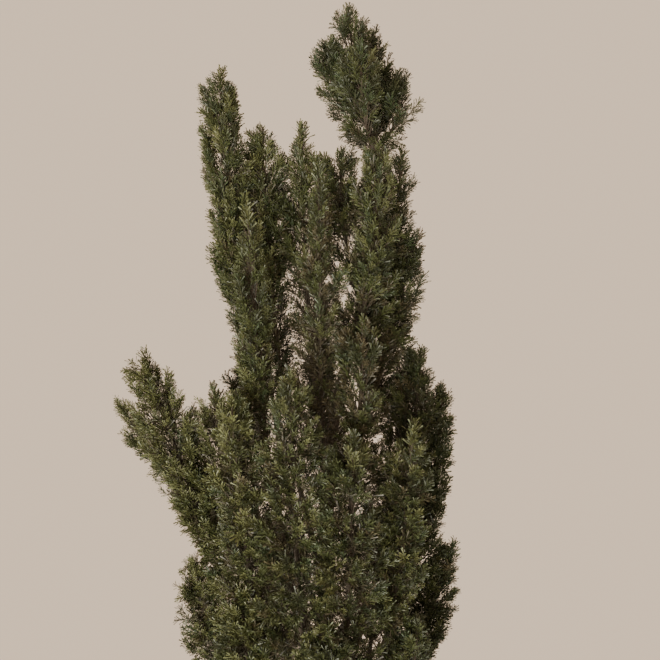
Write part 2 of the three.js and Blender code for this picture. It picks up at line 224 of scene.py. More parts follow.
# Seeds of the random draws, and the most triangles that a piece may have.
TRUNK_SEED = 5
BOUGH_SEED = 40
STEM_SEED = 80
GREEN_SEED = 100
INNER_SEED = 200
GROWTH_SEED = 1300
OLIVE_SEED = 1
BLUE_SEED = 2
PIECE_TRIANGLES = 190000


def plume(name, root, tip, width, bare, **traits):
    """One row of the table of plumes."""
    row = dict(name=name, root=root, tip=tip, width=width, bare=bare, tone="green")
    row.update(spread=SPREAD_SHARE, rise=RISE_SHARE, blunt=FLAME_BLUNTNESS, peak=FLAME_PEAK)
    row.update(bough=False, density=1, straight=False)
    row.update(traits)
    return row


def ring(name, count, start, step, root, radius, top, width, bare):
    """Evenly spaced plumes round the trunk, each rooted higher and ending lower than the one before."""
    rows = []
    for i in range(count):
        azimuth = math.radians(start + i * step)
        tip = (radius * math.cos(azimuth), radius * math.sin(azimuth), top - RING_STEP * i)
        rows.append(plume(f"{name}_{i + 1}", root + RING_STEP * i, tip, width, bare))
    return rows


# Plumes that are widest near their tips, and limbs that lean out over more of their rise.
HEADED = dict(bough=True, peak=0.7)
WIDE = dict(spread=0.62, rise=0.42)
WIDEST = dict(spread=0.46, rise=0.53)

# The plumes: name, height of the root, tip, half-width, and the share of the limb that is bare.
PLUMES = [
    plume("top_leader", 1800, (28, 0, 1936), 42, 0, straight=True, blunt=2, tone="dark"),
    plume("top_left", 1712, (-9, -8, 1884), 34, 0.16, blunt=5, spread=0.85, rise=0.24, tone="dark"),
    plume("top_right", 1706, (106, 4, 1832), 42, 0.18, blunt=5, spread=1.65, rise=0.24, tone="dark"),
    plume("top_front", 1676, (46, -74, 1850), 46, 0.16, blunt=4),
    plume("top_back", 1660, (74, 50, 1912), 40, 0.16, blunt=4, tone="dark"),
    plume("column_right", 1330, (120, 0, 1702), 38, 0.2, blunt=6),
    plume("column_side", 1060, (144, -6, 1566), 46, 0.15, **WIDE, blunt=6, tone="brown"),
    plume("column_left", 1420, (17, -14, 1706), 48, 0.25, blunt=4),
    plume("column_front", 1270, (78, -86, 1700), 50, 0.25, blunt=6),
    plume("column_back", 1235, (76, 96, 1698), 50, 0.25, density=0.7, tone="dark"),
    plume("left_leader", 760, (-181, 0, 1836), 46, 0.54, **HEADED, blunt=5, spread=0.87, density=1.3),
    plume("left_inner", 930, (-115, 12, 1752), 44, 0.5, bough=True, blunt=5, density=1.15),
    plume("left_back", 820, (-140, 112, 1700), 56, 0.48, bough=True, tone="dark"),
    plume("left_front", 700, (-126, -96, 1606), 52, 0.5, bough=True),
    plume("centre_spire", 1130, (-48, 0, 1748), 48, 0.3, bough=True, blunt=4),
    plume("centre_front", 1010, (-18, -92, 1682), 46, 0.36, density=0.7, tone="brown"),
    plume("centre_back", 960, (-30, 118, 1640), 50, 0.36, density=0.55, tone="brown"),
    plume("left_low", 620, (-320, -20, 1364), 53, 0.44, **HEADED, **WIDE, blunt=7, tone="olive"),
    plume("left_lobe", 570, (-390, 52, 1264), 31, 0.69, **WIDEST, bough=True, blunt=4, tone="blue"),
    plume("left_mid", 680, (-198, -24, 1308), 58, 0.46, bough=True, blunt=8, tone="olive"),
    plume("left_shoulder", 520, (-152, -142, 1326), 68, 0.44, bough=True, tone="olive"),
    plume("right_mid", 800, (159, 0, 1374), 56, 0.38, bough=True, blunt=5),
    plume("right_outer", 600, (198, 8, 1308), 43, 0.42, bough=True, blunt=4, spread=0.94),
    # The olive tone of this plume is painted light, which makes it the brightest plume on the right.
    plume("right_bright", 540, (130, -132, 1268), 54, 0.44, bough=True, tone="olive"),
    plume("right_back", 650, (150, 134, 1350), 80, 0.3, bough=True, tone="dark"),
    plume("front_left", 462, (-60, -170, 1370), 70, 0.44, bough=True),
    plume("front_right", 440, (34, -178, 1272), 70, 0.44, bough=True),
    plume("back_left", 545, (-172, 160, 1330), 82, 0.3, bough=True, tone="dark"),
    plume("back_mid", 500, (-14, 196, 1390), 82, 0.3, bough=True),
    plume("inner_front", 850, (52, -118, 1440), 56, 0.36, tone="brown"),
    plume("low_left", 520, (-250, 0, 990), 55, 0.3, blunt=6, spread=0.84, tone="olive"),
    plume("low_right", 505, (224, 6, 1012), 45, 0.2, blunt=5, spread=0.74, rise=0.5),
    *ring("low", 3, 225, 45, root=330, radius=200, top=1000, width=66, bare=0.28),
    *ring("low_far", 2, 60, 60, root=310, radius=205, top=1010, width=84, bare=0.22),
    *ring("skirt", 5, 22, 72, root=120, radius=170, top=720, width=68, bare=0.2),
]

# Foliage colours as linear base colours, their numbers, and the shares of them in a plume by its tone.
COLOURS = {
    "leaf_mid": (0.049, 0.059, 0.019),
    "leaf_olive": (0.074, 0.081, 0.029),
    "leaf_dark": (0.030, 0.036, 0.014),
    "leaf_blue": (0.040, 0.056, 0.023),
    "leaf_yellow": (0.102, 0.110, 0.040),
    "leaf_brown": (0.066, 0.056, 0.028),
    "leaf_withered": (0.042, 0.036, 0.020),
}
OLIVE, DARK, BLUE, YELLOW, BROWN = range(1, 6)
SHARES = {
    "green": (0.44, 0.2, 0.2, 0.08, 0.03, 0.05, 0),
    "blue": (0.42, 0.12, 0.18, 0.24, 0.02, 0.02, 0),
    "dark": (0.36, 0.1, 0.42, 0.07, 0.01, 0.04, 0),
    "olive": (0.36, 0.32, 0.1, 0.02, 0.16, 0.04, 0),
    "brown": (0.3, 0.14, 0.16, 0.02, 0.01, 0.5, 0),
    "inner": (0.0, 0.0, 0.3, 0.0, 0.0, 0.1, 0.6),
}
# How those shares drift over the crown: olive and yellow to the left as painted light; dark to the right,
# lower down and at open tips as painted shade; brown deeper in; and zones of that length in which the blue or
# the olive sprays are gathered.
PAINTED_LIGHT_DRIFT = 220
SHADE_DRIFT = 160
SHADE_HEIGHT = 1350
SHADE_FALL = 1000
SHADE_OPEN = 4
SHADE_EXPOSURE = 0.25
BROWN_DRIFT = 6
BROWN_EXPOSURE = 0.2
ZONE_LENGTH = 190
ZONE_LENGTHS = (0.8, 1.5)
ZONE_WAVES = 5
ZONE_DEPTH = 1.5

# The other colours and finishes.
TWIG_COLOUR = (0.055, 0.041, 0.028)
BARK_FURROW = (0.028, 0.020, 0.014, 1)
BARK_RIDGE = (0.120, 0.090, 0.066, 1)
BARK_GREY = (0.090, 0.079, 0.066, 1)
FLOOR_COLOUR = (0.62, 0.59, 0.54)
LEAF_ROUGHNESS = 0.48
TWIG_ROUGHNESS = 0.85
BARK_ROUGHNESS = 0.88
FLOOR_ROUGHNESS = 0.9
PLAIN_SPECULAR = 0.5
BARK_SPECULAR = 0.25

# Stage, with lengths in metres but for the floor's: background, lights and camera.
FLOOR_RADIUS = 1100
FLOOR_SIDES = 96
WORLD_COLOUR = (0.69, 0.527, 0.382, 1)
WORLD_STRENGTH = 1.5
LIGHTS_AIM = (0, 0, 0.9)
KEY_LIGHT = dict(place=(-2.1, -1.9, 0.3), size=1.6, power=75, colour=(1.0, 0.97, 0.87))
FRONT_LIGHT = dict(place=(-0.9, -2.3, 0.3), size=2.2, power=145, colour=(1.0, 0.985, 0.90))
CAMERA_PLACE = (0, -1.15, 1.55)
CAMERA_PITCH = 7.4
CAMERA_LENS = 36.6
CAMERA_SENSOR = 36
CAMERA_NEAR = 0.05


def unit(vectors):
    """The vectors at length 1."""
    return vectors / np.maximum(np.linalg.norm(vectors, axis=-1, keepdims=True), TINY)


def mix(a, b, share):
    """From a at 0 to b at 1."""
    return a + (b - a) * share


def around_axis(angle, side, across):
    """The directions at angles from side towards across."""
    return np.cos(angle)[..., None] * side + np.sin(angle)[..., None] * across


def spline_points(path, steps):
    """Points of a centripetal Catmull-Rom curve through the path."""
    points = np.array(path, float)
    ends = (2 * points[0] - points[1], 2 * points[-1] - points[-2])
    points = np.vstack([ends[0], points, ends[1]])
    found = []
    for i in range(1, len(points) - 2):
        p0, p1, p2, p3 = points[i - 1 : i + 3]
        d0, d1, d2 = (math.sqrt(np.linalg.norm(b - a)) for a, b in ((p0, p1), (p1, p2), (p2, p3)))
        m1 = ((p1 - p0) / d0 - (p2 - p0) / (d0 + d1) + (p2 - p1) / d1) * d1
        m2 = ((p2 - p1) / d1 - (p3 - p1) / (d1 + d2) + (p3 - p2) / d2) * d1
        for t in np.linspace(0, 1, steps, endpoint=i == len(points) - 3):
            cubic = (-3 * p1 + 3 * p2 - 2 * m1 - m2) * t**2 + (2 * p1 - 2 * p2 + m1 + m2) * t**3
            found.append(p1 + m1 * t + cubic)
    return np.array(found)


def quadratic(start, bend, end, t):
    """The points of a quadratic curve at its parameter t, and its direction there."""
    place = (1 - t) ** 2 * start + 2 * t * (1 - t) * bend + t**2 * end
    return place, unit((1 - t) * (bend - start) + t * (end - bend))


TRUNK_LINE = spline_points(TRUNK_PATH, TRUNK_LINE_STEPS)


def trunk_axis(height):
    """The trunk's centre at a height, or at each of several heights."""
    line = TRUNK_LINE
    return np.stack([np.interp(height, line[:, 2], line[:, k]) for k in range(3)], axis=-1)


def trunk_radius(height):
    """The trunk's radius at a height, without its flare."""
    left = np.clip(1 - np.asarray(height, float) / TRUNK_TOP, 0, 1)
    return mix(TRUNK_TIP_RADIUS, TRUNK_FOOT_RADIUS, left**TRUNK_TAPER)


def flame(share, row):
    """The half-width of a plume's space, as a share of its widest, from its foot at 0 to its tip at 1."""
    share, peak = np.asarray(share, float), row["peak"]
    below = np.clip(1 - share / peak, 0, 1)
    past = np.clip((share - peak) / (1 - peak), 0, 1)
    foot = mix(FLAME_FOOT, 1, np.sqrt(1 - below**2))
    head = np.maximum((1 - past ** row["blunt"]) ** FLAME_ROUNDING, FLAME_TIP)
    return np.where(share < peak, foot, head)


def noise(across, up, seed, cells):
    """Smooth random values from 0 to 1 over a sheet that runs up, and closes on itself from 0 to 1 across."""
    grid = np.random.default_rng(seed).random((NOISE_ROWS, cells))
    x, y = across * cells, up
    left, low = np.floor(x).astype(int), np.floor(y).astype(int)
    fx, fy = x - left, y - low
    fx, fy = fx * fx * (3 - 2 * fx), fy * fy * (3 - 2 * fy)
    at = lambda i, j: grid[(low + j) % NOISE_ROWS, (left + i) % cells]
    return mix(mix(at(0, 0), at(1, 0), fx), mix(at(0, 1), at(1, 1), fx), fy)


class Limb:
    """A plume's limb as a curve from the trunk's axis to the plume's tip, and the plume's space along it."""

    def __init__(self, row):
        self.row = row
        self.name = row["name"]
        self.width = row["width"]
        self.bare = row["bare"]
        self.start = trunk_axis(row["root"])
        self.end = np.array(row["tip"], float)
        self.middle = mix(self.start, self.end, STRAIGHT_SHARE if row["straight"] else row["spread"])
        if not row["straight"]:
            self.middle[2] = mix(self.start[2], self.end[2], row["rise"])
        line = self.at(np.linspace(0, 1, LENGTH_STEPS))
        self.length = np.linalg.norm(np.diff(line, axis=0), axis=1).sum()
        self.leafy = self.length * (1 - self.bare)
        shares = np.linspace(0, 1, SPACE_STEPS + 1)
        self.space = (self.at(self.along(shares)), self.width * flame(shares, row))

    def along(self, share):
        """The curve's parameter at a share of the leafy part."""
        return self.bare + (1 - self.bare) * np.asarray(share, float)

    def at(self, t):
        """The curve's points."""
        return quadratic(self.start, self.middle, self.end, np.asarray(t, float)[..., None])[0]

    def frame(self, t):
        """The curve's direction and the two directions across it."""
        along = quadratic(self.start, self.middle, self.end, np.asarray(t, float)[..., None])[1]
        side = unit(np.cross(INWARD, along))
        return along, side, np.cross(along, side)

    def radius(self, t):
        """The limb's radius."""
        root = LIMB_ROOT_SHARE * trunk_radius(self.row["root"])
        return mix(LIMB_TIP_RADIUS, root, (1 - np.asarray(t, float)) ** LIMB_TAPER)


LIMBS = [Limb(row) for row in PLUMES]


def depth_in(space, points):
    """How far out in a space each point is: 0 on its axis, 1 on its outer surface."""
    centres, widths = space
    least = np.full(points.shape[:-1], np.inf)
    for a, b, wide, next_wide in zip(centres[:-1], centres[1:], widths[:-1], widths[1:]):
        line = b - a
        share = np.clip((points - a) @ line / (line @ line), 0, 1)
        away = np.linalg.norm(points - a - share[..., None] * line, axis=-1)
        least = np.minimum(least, away / mix(wide, next_wide, share))
    return least


def bare_spaces():
    """The spaces of the bare limbs, which foliage keeps out of."""
    heights = np.linspace(0, TRUNK_TOP, SPACE_STEPS + 1)
    spaces = [(trunk_axis(heights), trunk_radius(heights) + LIMB_MARGIN)]
    for limb in LIMBS:
        if limb.row["bough"]:
            steps = np.linspace(0, limb.bare, SPACE_STEPS + 1)
            spaces.append((limb.at(steps), limb.radius(steps) + LIMB_MARGIN))
    return spaces


BARE_SPACES = bare_spaces()


def belongs(limb, points, slack, limit=np.inf):
    """Whether each point is within the limit in the plume's own space, clear of bare limbs, and deeper in
    that of another plume by slack at most. The limit is eased where another plume stands beside it, so that
    the seam closes."""
    own = depth_in(limb.space, points)
    others = np.min([depth_in(other.space, points) for other in LIMBS if other is not limb], axis=0)
    bare = np.min([depth_in(space, points) for space in BARE_SPACES], axis=0)
    eased = limit + SEAM_EASE * np.clip(SEAM_REACH - others, 0, 1)
    return (own < others + slack) & (own < eased) & (bare > 1)


def in_box(points):
    """Whether each point is inside the box that holds the solids."""
    return np.all((points > SOLIDS_BOX[0]) & (points < SOLIDS_BOX[1]), axis=-1)


class Exposure:
    """How well light from all sides reaches each part of the crown: 0 deep inside, near 1 at a lone tip."""

    def __init__(self):
        centres = np.vstack([limb.space[0] for limb in LIMBS])
        self.low = centres.min(0) - GRID_MARGIN
        counts = np.ceil((centres.max(0) + GRID_MARGIN - self.low) / GRID_PITCH).astype(int) + 1
        axes = [self.low[k] + GRID_PITCH * np.arange(counts[k]) for k in range(3)]
        points = np.stack(np.meshgrid(*axes, indexing="ij"), axis=-1)
        filled = np.zeros(points.shape[:-1], bool)
        for limb in LIMBS:
            line, widths = limb.space
            first = np.maximum(((line.min(0) - self.low - widths.max()) // GRID_PITCH).astype(int), 0)
            last = ((line.max(0) - self.low + widths.max()) // GRID_PITCH).astype(int) + 2
            part = tuple(slice(a, b) for a, b in zip(first, last))
            filled[part] |= depth_in(limb.space, points[part]) < 1
        steps = [step for step in itertools.product((-1, 0, 1), repeat=3) if any(step)]
        self.grid = sum(self.light(filled.astype(float), np.array(step)) for step in steps) / len(steps)

    def light(self, filled, step):
        """The light that reaches each cell from one direction."""
        margin = LIGHT_STEPS
        padded = np.pad(filled, margin)
        through = 0
        for i in range(1, margin + 1):
            part = tuple(slice(margin + i * s, margin + i * s + n) for s, n in zip(step, filled.shape))
            through = through + padded[part]
        return np.exp(-through * GRID_PITCH * np.linalg.norm(step) / LIGHT_DEPTH)

    def at(self, points):
        """The exposure at each point, between the grid's values."""
        place = (points - self.low) / GRID_PITCH
        place = np.clip(place, 0, np.array(self.grid.shape) - GRID_EDGE)
        cell = place.astype(int)
        share = place - cell
        total = 0
        for corner in itertools.product((0, 1), repeat=3):
            weight = np.prod(np.abs(1 - np.array(corner) - share), axis=-1)
            total = total + weight * self.grid[tuple(np.moveaxis(cell + corner, -1, 0))]
        return total


EXPOSURE = Exposure()


class Growth:
    """What a plume grows: its side branches as curves, and its sprays as places, directions and sizes."""

    def __init__(self, limb, seed):
        self.limb = limb
        self.random = np.random.default_rng(seed)
        self.branch()
        green = self.spray(SPRAY_STEPS, SPRAY_LENGTH, SPRAY_LIMIT, 0, SPRAY_KINDS, SPRAY_EXPOSURE)
        tip = stem_tip(limb, self.random)
        self.green = {key: np.concatenate([green[key], tip[key]]) for key in tip}
        self.inner = self.spray(
            INNER_STEPS, INNER_LENGTH, INNER_LIMIT, SPRAY_KINDS, INNER_KINDS, INNER_EXPOSURE
        )

    def branch(self):
        """Side branches round the stem by the golden angle, which climb as they spread. Each is kept with
        its curve, its stretch by a lump or a tuft, the height at which it ends, and its room for sprays."""
        limb, random = self.limb, self.random
        count = max(int(round(limb.leafy * limb.row["density"] / BRANCH_EVERY)), BRANCH_LEAST)
        order = np.arange(count)
        share = STEM_REACH * (order + 0.5) / count
        climb = BRANCH_CLIMB * np.minimum(1, BRANCH_FOOT_CLIMB + share / BRANCH_FOOT)
        top = np.minimum(share + climb / limb.leafy, mix(share, STEM_REACH, TIP_CLIMB))
        start = limb.at(limb.along(share))
        high = limb.at(limb.along(top))
        _, side, across = limb.frame(limb.along(top))
        angle = order * GOLDEN_ANGLE + BRANCH_JITTER * random.standard_normal(count)
        outward = around_axis(angle, side, across)
        seed = int(random.integers(LUMP_SEEDS))
        lump = noise(angle / (2 * math.pi) % 1, top * limb.leafy / LUMP_LENGTH, seed, LUMP_CELLS)
        envelope = limb.width * flame(top, limb.row) * (1 - BRANCH_JITTER * random.random(count))
        tuft = random.random(count) ** TUFT_RARITY - TUFT_MIDDLE
        stretch = 1 + LUMP_DEPTH * (2 * lump - LUMP_MIDDLE) + TUFT_REACH * tuft
        envelope = envelope * stretch
        reach = np.maximum(envelope - BRANCH_SHORT, BRANCH_LEAST_REACH * envelope)
        kept = np.zeros(count, bool)
        end = np.zeros((count, 3))
        for part in BRANCH_TRIES:
            tried = high + outward * (reach * part)[:, None]
            fits = ~kept & belongs(limb, tried, BRANCH_SLACK)
            end[fits] = tried[fits]
            kept |= fits
        bend = mix(start, end, 0.5) + outward * (BRANCH_BOW * reach)[:, None]
        self.branches = np.stack([start, bend, end], axis=1)[kept]
        self.stretch = stretch[kept]
        self.top = top[kept]
        self.room = np.linalg.norm(end - high, axis=1)[kept] / SPRAY_ROOM

    def spray(self, steps, lengths, limit, first_kind, kinds, most_open):
        """Sprays at steps along each side branch, turned about it by the golden angle. Each leans away from
        the branch, less so near its end, and outward from the stem."""
        limb, random = self.limb, self.random
        count = len(self.branches)
        jitter = STEP_JITTER * random.standard_normal((count, len(steps)))
        t = np.clip(np.array(steps) + jitter, STEP_LEAST, 1)[..., None]
        start, bend, end = (self.branches[:, k, None, :] for k in range(3))
        place, along = quadratic(start, bend, end, t)
        side = unit(np.cross(along, UP + BRANCH_NUDGE))
        turn = GOLDEN_ANGLE * np.arange(len(steps)) + random.uniform(0, 2 * math.pi, (count, 1))
        around = around_axis(turn, side, np.cross(along, side))
        lean = random.uniform(*SPRAY_LEAN, t.shape) * (1 - TIP_UPRIGHT * t**2)
        outward = unit(end - limb.at(limb.along(self.top))[:, None, :])
        aim = unit(along + lean * around + SPRAY_RISE * UP + SPRAY_OUTWARD * outward)
        size = random.uniform(*lengths, t.size)
        place, aim = place.reshape(-1, 3), aim.reshape(-1, 3)
        tip = place + aim * size[:, None]
        limit = limit * np.repeat(self.stretch, len(steps))
        for _ in range(SPRAY_TRIES):
            fits = belongs(limb, tip, SPRAY_SLACK, limit) & in_box(tip)
            size = np.where(fits, size, size * SPRAY_CUT)
            tip = place + aim * size[:, None]
        keep = belongs(limb, tip, SPRAY_SLACK, limit) & in_box(tip)
        exposure = EXPOSURE.at(mix(place, tip, 0.5))
        keep &= random.random(len(size)) < np.clip(exposure / FULL_EXPOSURE, 0, 1) ** 2
        keep &= (exposure < most_open) & (random.random(len(size)) < np.repeat(self.room, len(steps)))
        count = keep.sum()
        open_air = np.clip((exposure[keep] - LONG_FROM) / (LONG_TO - LONG_FROM), 0, 1)
        pair = random.integers(0, kinds // 2, count)
        kind = first_kind + 2 * pair + (random.random(count) < open_air)
        found = dict(place=place[keep], aim=aim[keep], size=size[keep], exposure=exposure[keep], kind=kind)
        found.update(roll=random.uniform(0, 2 * math.pi, count), tone=random.random(count))
        return found


def stem_tip(limb, random):
    """Sprays that rise from the end of a plume's stem."""
    foot = np.full(TIP_SPRAYS, 1 - TIP_SPRAY_FOOT / limb.length)
    along, side, across = limb.frame(foot)
    turn = GOLDEN_ANGLE * np.arange(TIP_SPRAYS)
    around = around_axis(turn, side, across)
    lean = TIP_SPRAY_LEAN * np.arange(TIP_SPRAYS) / TIP_SPRAYS
    place = limb.at(foot)
    size = random.uniform(*SPRAY_LENGTH, TIP_SPRAYS)
    found = dict(place=place, aim=unit(along + lean[:, None] * around), size=size)
    found.update(exposure=EXPOSURE.at(place), kind=random.integers(0, SPRAY_KINDS, TIP_SPRAYS))
    found.update(roll=random.uniform(0, 2 * math.pi, TIP_SPRAYS), tone=random.random(TIP_SPRAYS))
    return found


def joined(parts):
    """Several lists of points and faces as one."""
    base, points, faces = 0, [], []
    for some_points, some_faces in parts:
        points.append(some_points)
        faces.append(some_faces + base)
        base += len(some_points)
    return np.vstack(points), np.vstack(faces)


def kite(root, tip, across, width):
    """A shoot as a kite folded along its middle: its root, its two sides and its tip."""
    along = unit(tip - root)
    across = unit(across - along * (across @ along))
    back = SHOOT_FOLD * width * np.cross(along, across)
    waist = mix(root, tip, SHOOT_WAIST)
    corners = [root, waist - across * width - back, tip, waist + across * width - back]
    return corners, [(0, 1, 2), (0, 2, 3)]


def fork(root, aim, length, width, random):
    """A forked shoot as two wedges from one root, which widen to blunt tips."""
    apart = unit(np.cross(aim, random.normal(0, 1, 3)))
    corners, sides = [root], []
    for turn in (-SHOOT_FORK, SHOOT_FORK):
        way = unit(aim + turn * apart)
        tip = root + way * length * random.uniform(*FORK_LENGTH)
        across = width * unit(np.cross(way, random.normal(0, 1, 3)))
        sides.append((0, len(corners), len(corners) + 1))
        corners += [tip - across, tip + across]
    return corners, sides


def level(turn):
    """The level direction at an angle from +X."""
    return np.array([math.cos(turn), math.sin(turn), 0])


def spray_shape(seed, lengths, shoots, width, spread):
    """One spray of middling length from its root along +Z: a bent axis with shoots to all sides."""
    random = np.random.default_rng(seed)
    length = sum(lengths) / 2
    bow = random.uniform(-SPRAY_BOW, SPRAY_BOW, 2)
    axis = lambda u: np.array([bow[0] * u**2 * length, bow[1] * u**2 * length, u * length])
    shapes = []
    for a, b in zip(AXIS_KNOTS[:-1], AXIS_KNOTS[1:]):
        shapes.append(kite(axis(a), axis(b), level(random.uniform(0, math.pi)), width))
    for i in range(shoots):
        u = SHOOT_START + SHOOT_RUN * i / (shoots - 1)
        away = level(GOLDEN_ANGLE * i + random.normal(0, SHOOT_JITTER))
        long = length * mix(*spread, u) * random.uniform(*SHOOT_LENGTH)
        aim = unit(away + UP * random.uniform(*SHOOT_LIFT))
        shapes.append(fork(axis(u), aim, long, width, random))
    points, faces = joined([(np.array(corners), np.array(sides)) for corners, sides in shapes])
    return points, faces, length


def spray_shapes():
    """The kinds of green spray, fine and long by turns, and after them the kinds of withered spray."""
    green = (FINE_SHOOTS, LONG_SHOOTS)
    shapes = [spray_shape(GREEN_SEED + i, SPRAY_LENGTH, *green[i % 2]) for i in range(SPRAY_KINDS)]
    return shapes + [spray_shape(INNER_SEED + i, INNER_LENGTH, *INNER_SHOOTS) for i in range(INNER_KINDS)]


SPRAY_SHAPES = spray_shapes()


def set_values(node, values):
    """Sets a node's sockets by their names."""
    for name, value in values.items():
        node.inputs[name].default_value = value


def material_of(name, values):
    """A material whose shader has these values, and the shader."""
    material = bpy.data.materials.new(name)
    material.use_nodes = True
    shader = material.node_tree.nodes["Principled BSDF"]
    set_values(shader, values)
    return material, shader


def plain(name, colour, roughness=LEAF_ROUGHNESS):
    """A plain material: every value is set on the shader's own socket."""
    values = {"Base Color": (*colour, 1), "Roughness": roughness, "Specular IOR Level": PLAIN_SPECULAR}
    return material_of(name, values)[0]


def mesh_object(name, points, faces, materials, indices=None, smooth=False):
    """A mesh object from arrays: points in millimetres, faces of one size, a material number for each."""
    points = np.asarray(points, np.float32) * MM
    faces = np.asarray(faces, np.int32)
    mesh = bpy.data.meshes.new(name)
    mesh.vertices.add(len(points))
    mesh.vertices.foreach_set("co", points.ravel())
    mesh.loops.add(faces.size)
    mesh.loops.foreach_set("vertex_index", faces.ravel())
    mesh.polygons.add(len(faces))
    mesh.polygons.foreach_set("loop_start", np.arange(0, faces.size, faces.shape[1], dtype=np.int32))
    for material in materials:
        mesh.materials.append(material)
    if indices is not None:
        mesh.polygons.foreach_set("material_index", np.asarray(indices, np.int32))
    mesh.polygons.foreach_set("use_smooth", np.full(len(faces), smooth))
    mesh.update(calc_edges=True)
    mesh.validate()
    piece = bpy.data.objects.new(name, mesh)
    bpy.context.scene.collection.objects.link(piece)
    return piece


def zones(points, seed):
    """A smooth field over the crown, about -1 to 1, as a few waves in random directions."""
    random = np.random.default_rng(seed)
    ways = unit(random.normal(0, 1, (ZONE_WAVES, 3))) * 2 * math.pi
    waves = ways / (ZONE_LENGTH * random.uniform(*ZONE_LENGTHS, (ZONE_WAVES, 1)))
    phases = random.uniform(0, 2 * math.pi, ZONE_WAVES)
    return np.sin(points @ waves.T + phases).mean(axis=-1) * math.sqrt(2)


def dealt(sprays, tone):
    """The number of each spray's colour: by the plume's tone, and by the place in the crown, which paints light
    on the left and shade to the right, lower down and at open tips.
    """
    middle = sprays["place"] + sprays["aim"] * sprays["size"][:, None] / 2
    shares = np.tile(SHARES[tone], (len(middle), 1))
    # Painted light: olive and yellow sprays grow more common to the left; the zones gather them at random.
    olive = np.exp(-middle[:, 0] / PAINTED_LIGHT_DRIFT + ZONE_DEPTH * zones(middle, OLIVE_SEED))
    shares[:, OLIVE] *= olive
    shares[:, YELLOW] *= olive
    # Painted shade: dark sprays grow more common to the right, lower down and at open tips.
    shares[:, DARK] *= np.exp(middle[:, 0] / SHADE_DRIFT + (SHADE_HEIGHT - middle[:, 2]) / SHADE_FALL)
    shares[:, DARK] *= np.exp(SHADE_OPEN * (sprays["exposure"] - SHADE_EXPOSURE))
    shares[:, BLUE] *= np.exp(ZONE_DEPTH * zones(middle, BLUE_SEED))
    shares[:, BROWN] *= np.exp(BROWN_DRIFT * (BROWN_EXPOSURE - sprays["exposure"]))
    reached = np.cumsum(shares, axis=1)
    return (reached < sprays["tone"][:, None] * reached[:, -1:]).sum(axis=1)


def placed_sprays(sprays, tone):
    """The points, faces and colour numbers of a plume's sprays."""
    colour = dealt(sprays, tone)
    points, faces, colours = [np.empty((0, 3))], [np.empty((0, 3), int)], [np.empty(0, int)]
    base = 0
    aim, roll = sprays["aim"], sprays["roll"]
    side = unit(np.cross(aim, UP + SPRAY_NUDGE))
    x_axis = around_axis(roll, side, np.cross(aim, side))
    turned = np.stack([x_axis, np.cross(aim, x_axis), aim], axis=-1)
    for kind, (shape, sides, length) in enumerate(SPRAY_SHAPES):
        chosen = np.flatnonzero(sprays["kind"] == kind)
        scale = (sprays["size"][chosen] / length)[:, None, None]
        moved = np.einsum("nij,kj->nki", turned[chosen], shape) * scale
        moved = moved + sprays["place"][chosen][:, None, :]
        points.append(moved.reshape(-1, 3))
        numbered = base + np.arange(len(chosen))[:, None, None] * len(shape) + sides[None]
        faces.append(numbered.reshape(-1, 3))
        colours.append(np.repeat(colour[chosen], len(sides)))
        base += len(chosen) * len(shape)
    return np.vstack(points), np.vstack(faces), np.concatenate(colours)


def tubes(curves, radii, rings, sides):
    """Tapering tubes along quadratic curves, closed to a point at their tips."""
    count = len(curves)
    start, bend, end = (curves[:, k, None, :] for k in range(3))
    t = (np.arange(rings) / rings)[None, :, None]
    centre, along = quadratic(start, bend, end, t)
    side = unit(np.cross(along, UP + TUBE_NUDGE))
    across = np.cross(along, side)
    angle = 2 * math.pi * np.arange(sides) / sides
    radius = mix(*radii, t)[..., None]
    spoke = around_axis(angle, side[:, :, None, :], across[:, :, None, :])
    points = (centre[:, :, None, :] + radius * spoke).reshape(count, -1, 3)
    points = np.concatenate([points, curves[:, 2, None, :]], axis=1)
    faces = []
    for r in range(rings - 1):
        for s in range(sides):
            a, b = r * sides + s, r * sides + (s + 1) % sides
            faces += [(a, b, b + sides), (a, b + sides, a + sides)]
    last = (rings - 1) * sides
    faces += [(last + s, last + (s + 1) % sides, rings * sides) for s in range(sides)]
    numbered = np.arange(count)[:, None, None] * points.shape[1] + np.array(faces)[None]
    return points.reshape(-1, 3), numbered.reshape(-1, 3)


def bark_relief(across, height, seed):
    """The bark's relief, about -1 to 1: long fibrous ridges, split and crossed by finer ones."""
    sway = BARK_SWAY * np.sin(height / BARK_SWAY_LENGTH)
    places = (across + sway, across - sway, across)
    layers = zip(places, BARK_LENGTHS, BARK_COUNTS)
    ridge, fine, grain = (noise(p, height / step, seed + i, n) for i, (p, step, n) in enumerate(layers))
    ridge = (1 - np.abs(2 * ridge - 1)) ** RIDGE_SHARPNESS
    return RIDGE_HEIGHT * ridge + FINE_HEIGHT * fine + GRAIN_HEIGHT * grain - BARK_MIDDLE


